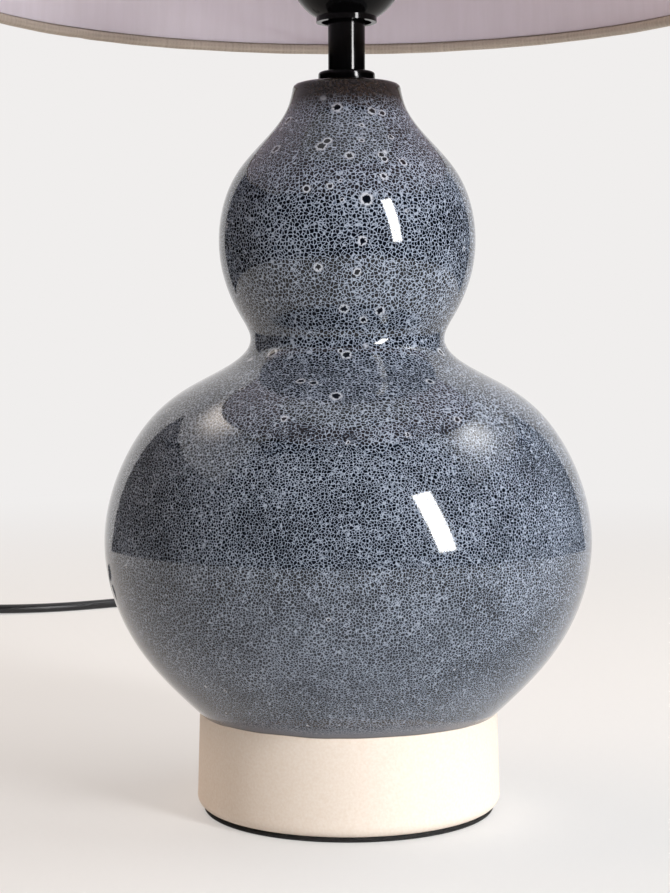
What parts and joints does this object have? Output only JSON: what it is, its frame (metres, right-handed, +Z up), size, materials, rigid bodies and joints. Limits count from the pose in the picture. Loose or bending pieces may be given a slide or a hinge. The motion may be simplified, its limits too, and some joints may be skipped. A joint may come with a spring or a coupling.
{
  "type": "table lamp",
  "caption": "Table lamp with a hollow double gourd ceramic body on a bare foot, a black stem and lampholder, a tapered drum shade and a mains lead with a rocker switch.",
  "frame": {"origin": "middle of the pad's underside, on the table", "axes": "+Z up along the stem, +Y to the back where the lead leaves the foot, +X to the right seen from the front"},
  "size_m": [0.5378, 0.8264, 0.5512],
  "materials": {
    "glazed_stoneware": "gloss mottled blue grey glaze, bare cream foot",
    "pad_foam": "matt",
    "cord_pvc": "satin",
    "core_brown": "satin",
    "core_blue": "satin",
    "zinc_steel": "zinc plated",
    "gasket_rubber": "matt",
    "black_enamel": "gloss",
    "black_phenolic": "gloss",
    "porcelain": "satin",
    "nickel_brass": "nickel plated",
    "brass": "plain",
    "tie_strap": "woven",
    "plug_pvc": "satin",
    "sleeve_plastic": "satin",
    "switch_plastic": "satin",
    "rocker_plastic": "satin",
    "white_wire": "powder coated",
    "shade_linen": "woven linen",
    "shade_lining": "matt"
  },
  "bodies": {
    "base": {"ceramic_body": "glazed_stoneware", "base_pad": "pad_foam", "cord_strain_relief": "cord_pvc", "cord_stop": "cord_pvc", "inner_lead": "cord_pvc", "live_core": "core_brown", "neutral_core": "core_blue", "clamp_nut": "zinc_steel", "lock_washer": "zinc_steel", "clamp_washer": "zinc_steel", "neck_gasket": "gasket_rubber", "neck_washer": "black_enamel", "threaded_rod": "zinc_steel", "stem_sleeve": "black_enamel", "holder_cap": "black_phenolic", "cap_grub_screw": "zinc_steel", "holder_skirt": "black_phenolic", "holder_insert": "porcelain", "screw_shell": "nickel_brass", "centre_contact": "brass", "terminal_screws": "zinc_steel", "cord_from_base": "cord_pvc", "cord_to_coil": "cord_pvc", "cord_coil": "cord_pvc", "cord_tie": "tie_strap", "cord_tail": "cord_pvc", "plug_body": "plug_pvc", "plug_pins": "nickel_brass", "plug_sleeves": "sleeve_plastic", "switch_base": "switch_plastic", "switch_cover": "switch_plastic", "switch_contacts": "brass", "switch_screws": "zinc_steel"},
    "rocker": {"switch_rocker": "rocker_plastic"},
    "shade": {"fitter_hub": "white_wire", "fitter_arms": "white_wire", "bottom_wire": "white_wire", "top_wire": "white_wire", "shade_cover": "shade_linen", "shade_lining": "shade_lining"},
    "clamp_ring": {"shade_clamp_ring": "black_phenolic"}
  },
  "joints": [
    {"name": "rocker_tilt", "type": "hinge", "parent": "base", "child": "rocker", "pos_m": [0.026, 0.343, 0.0116], "axis": [1, 0, 0], "range_deg": [0, 16]},
    {"name": "shade_lift", "type": "slide", "parent": "base", "child": "shade", "axis": [0, 0, 1], "range_m": [0, 0.06]},
    {"name": "ring_turn", "type": "hinge", "parent": "shade", "child": "clamp_ring", "pos_m": [0, 0, 0.3641], "axis": [0, 0, 1], "range_deg": [0, 1080]}
  ]
}
